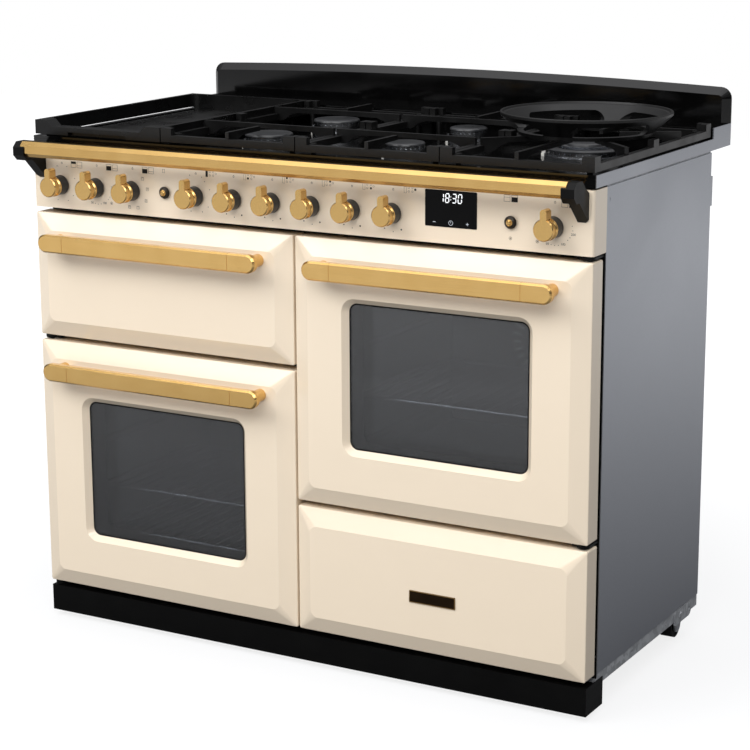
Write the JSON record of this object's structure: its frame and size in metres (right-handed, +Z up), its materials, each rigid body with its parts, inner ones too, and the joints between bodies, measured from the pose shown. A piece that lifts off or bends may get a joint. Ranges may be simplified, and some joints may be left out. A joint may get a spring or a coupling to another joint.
{
  "type": "range cooker",
  "caption": "Freestanding range cooker with two side-hinged ovens, a pull-out grill, a storage drawer and a gas hob with griddle, cast supports and wok ring.",
  "frame": {"origin": "on the floor, under the middle of the whole cooker's bounding box", "axes": "+X to the cooker's right as seen from the front, -Y to the front, +Z up"},
  "size_m": [1.1003, 0.659, 0.997],
  "materials": {
    "cream_enamel": "gloss vitreous enamel",
    "brushed_brass": "brushed",
    "black_enamel": "gloss enamel",
    "satin_black": "satin",
    "oven_enamel": "speckled enamel",
    "side_paint": "metallic satin",
    "zinc_steel": "galvanised",
    "cast_black": "matt enamelled",
    "burner_alloy": "satin",
    "cap_enamel": "satin",
    "chrome_wire": "bright",
    "smoked_glass": "tinted",
    "display_glass": "gloss",
    "seal_rubber": "matt",
    "dark_plastic": "matt",
    "fitting_brass": "plain"
  },
  "bodies": {
    "case": {"front_frame": "satin_black", "chassis_rails": "zinc_steel", "base_tray": "zinc_steel", "plinth": "satin_black", "side_panel_left": "side_paint", "side_panel_right": "side_paint", "back_panel": "zinc_steel", "oven_cavities": "oven_enamel", "grill_chamber": "oven_enamel", "control_panel": "cream_enamel", "display_window": "display_glass", "hob_top": "black_enamel", "hob_side_trims": "side_paint", "splashback": "black_enamel", "rail_bar": "brushed_brass", "rail_brackets": "satin_black", "burner_heads": "burner_alloy", "burner_caps": "cap_enamel", "gas_taps": "zinc_steel", "heating_elements": "zinc_steel", "fan_covers": "oven_enamel", "fan_motors": "zinc_steel", "door_seals": "seal_rubber", "service_inlets": "fitting_brass", "oven_shelves": "chrome_wire"},
    "knob_grill_body": {"knob_grill": "brushed_brass"},
    "knob_left_heat_body": {"knob_left_heat": "brushed_brass"},
    "knob_left_function_body": {"knob_left_function": "brushed_brass"},
    "knob_griddle_body": {"knob_griddle": "brushed_brass"},
    "knob_burner_front_left_body": {"knob_burner_front_left": "brushed_brass"},
    "knob_burner_rear_left_body": {"knob_burner_rear_left": "brushed_brass"},
    "knob_burner_rear_right_body": {"knob_burner_rear_right": "brushed_brass"},
    "knob_burner_front_right_body": {"knob_burner_front_right": "brushed_brass"},
    "knob_wok_body": {"knob_wok": "brushed_brass"},
    "knob_right_heat_body": {"knob_right_heat": "brushed_brass"},
    "button_spark_body": {"button_spark": "brushed_brass"},
    "button_light_body": {"button_light": "brushed_brass"},
    "left_door": {"left_door_panel": "cream_enamel", "left_door_liner": "satin_black", "left_door_glass": "smoked_glass", "left_door_handle": "brushed_brass"},
    "right_door": {"right_door_panel": "cream_enamel", "right_door_liner": "satin_black", "right_door_glass": "smoked_glass", "right_door_handle": "brushed_brass"},
    "grill_drawer": {"grill_front": "cream_enamel", "grill_handle": "brushed_brass", "grill_carriage": "zinc_steel"},
    "grill_tray": {"grill_pan": "oven_enamel"},
    "storage_drawer": {"drawer_front": "cream_enamel", "drawer_box": "zinc_steel"},
    "griddle_plate": {"griddle": "cast_black"},
    "support_left": {"pan_support_left": "cast_black"},
    "support_middle": {"pan_support_middle": "cast_black"},
    "support_right": {"pan_support_right": "cast_black"},
    "wok_stand": {"wok_ring": "cast_black"},
    "left_fan": {"fan_left": "burner_alloy"},
    "right_fan": {"fan_right": "burner_alloy"},
    "roller_left": {"rear_roller_left": "dark_plastic"},
    "roller_right": {"rear_roller_right": "dark_plastic"}
  },
  "joints": [
    {"name": "knob_grill_turn", "type": "hinge", "parent": "case", "child": "knob_grill_body", "pos_m": [-0.483, -0.2655, 0.821], "axis": [0, -1, 0], "range_deg": [-270, 0]},
    {"name": "knob_left_heat_turn", "type": "hinge", "parent": "case", "child": "knob_left_heat_body", "pos_m": [-0.406, -0.2655, 0.821], "axis": [0, -1, 0], "range_deg": [-270, 0]},
    {"name": "knob_left_function_turn", "type": "hinge", "parent": "case", "child": "knob_left_function_body", "pos_m": [-0.329, -0.2655, 0.821], "axis": [0, -1, 0], "range_deg": [-270, 0]},
    {"name": "knob_griddle_turn", "type": "hinge", "parent": "case", "child": "knob_griddle_body", "pos_m": [-0.1964, -0.2655, 0.821], "axis": [0, -1, 0], "range_deg": [0, 210]},
    {"name": "knob_burner_front_left_turn", "type": "hinge", "parent": "case", "child": "knob_burner_front_left_body", "pos_m": [-0.1191, -0.2655, 0.821], "axis": [0, -1, 0], "range_deg": [0, 210]},
    {"name": "knob_burner_rear_left_turn", "type": "hinge", "parent": "case", "child": "knob_burner_rear_left_body", "pos_m": [-0.0418, -0.2655, 0.821], "axis": [0, -1, 0], "range_deg": [0, 210]},
    {"name": "knob_burner_rear_right_turn", "type": "hinge", "parent": "case", "child": "knob_burner_rear_right_body", "pos_m": [0.0355, -0.2655, 0.821], "axis": [0, -1, 0], "range_deg": [0, 210]},
    {"name": "knob_burner_front_right_turn", "type": "hinge", "parent": "case", "child": "knob_burner_front_right_body", "pos_m": [0.1128, -0.2655, 0.821], "axis": [0, -1, 0], "range_deg": [0, 210]},
    {"name": "knob_wok_turn", "type": "hinge", "parent": "case", "child": "knob_wok_body", "pos_m": [0.1901, -0.2655, 0.821], "axis": [0, -1, 0], "range_deg": [0, 210]},
    {"name": "knob_right_heat_turn", "type": "hinge", "parent": "case", "child": "knob_right_heat_body", "pos_m": [0.479, -0.2655, 0.821], "axis": [0, -1, 0], "range_deg": [-270, 0]},
    {"name": "button_spark_press", "type": "slide", "parent": "case", "child": "button_spark_body", "axis": [0, 1, 0], "range_m": [0, 0.003], "stiffness_N_per_m": 300, "springref_m": -0.001},
    {"name": "button_light_press", "type": "slide", "parent": "case", "child": "button_light_body", "axis": [0, 1, 0], "range_m": [0, 0.003], "stiffness_N_per_m": 300, "springref_m": -0.001},
    {"name": "left_door_hinge", "type": "hinge", "parent": "case", "child": "left_door", "pos_m": [-0.532, -0.2495, 0.302], "axis": [0, 0, -1], "range_deg": [0, 110]},
    {"name": "right_door_hinge", "type": "hinge", "parent": "case", "child": "right_door", "pos_m": [0.532, -0.2495, 0.537], "axis": [0, 0, 1], "range_deg": [0, 110]},
    {"name": "grill_slide", "type": "slide", "parent": "case", "child": "grill_drawer", "axis": [0, -1, 0], "range_m": [0, 0.3]},
    {"name": "grill_pan_lift", "type": "slide", "parent": "grill_drawer", "child": "grill_tray", "axis": [0, 0, 1], "range_m": [0, 0.05]},
    {"name": "storage_slide", "type": "slide", "parent": "case", "child": "storage_drawer", "axis": [0, -1, 0], "range_m": [0, 0.36]},
    {"name": "griddle_lift", "type": "slide", "parent": "case", "child": "griddle_plate", "axis": [0, 0, 1], "range_m": [0, 0.12]},
    {"name": "support_left_lift", "type": "slide", "parent": "case", "child": "support_left", "axis": [0, 0, 1], "range_m": [0, 0.12]},
    {"name": "support_middle_lift", "type": "slide", "parent": "case", "child": "support_middle", "axis": [0, 0, 1], "range_m": [0, 0.024]},
    {"name": "support_right_lift", "type": "slide", "parent": "case", "child": "support_right", "axis": [0, 0, 1], "range_m": [0, 0.12]},
    {"name": "wok_ring_lift", "type": "slide", "parent": "support_right", "child": "wok_stand", "axis": [0, 0, 1], "range_m": [0, 0.1]},
    {"name": "left_fan_spin", "type": "hinge", "parent": "case", "child": "left_fan", "pos_m": [-0.2745, 0.1775, 0.293], "axis": [0, 1, 0], "continuous": true},
    {"name": "right_fan_spin", "type": "hinge", "parent": "case", "child": "right_fan", "pos_m": [0.2725, 0.1775, 0.528], "axis": [0, 1, 0], "continuous": true},
    {"name": "roller_left_spin", "type": "hinge", "parent": "case", "child": "roller_left", "pos_m": [-0.512, 0.1905, 0.022], "axis": [1, 0, 0], "continuous": true},
    {"name": "roller_right_spin", "type": "hinge", "parent": "case", "child": "roller_right", "pos_m": [0.512, 0.1905, 0.022], "axis": [1, 0, 0], "continuous": true}
  ]
}
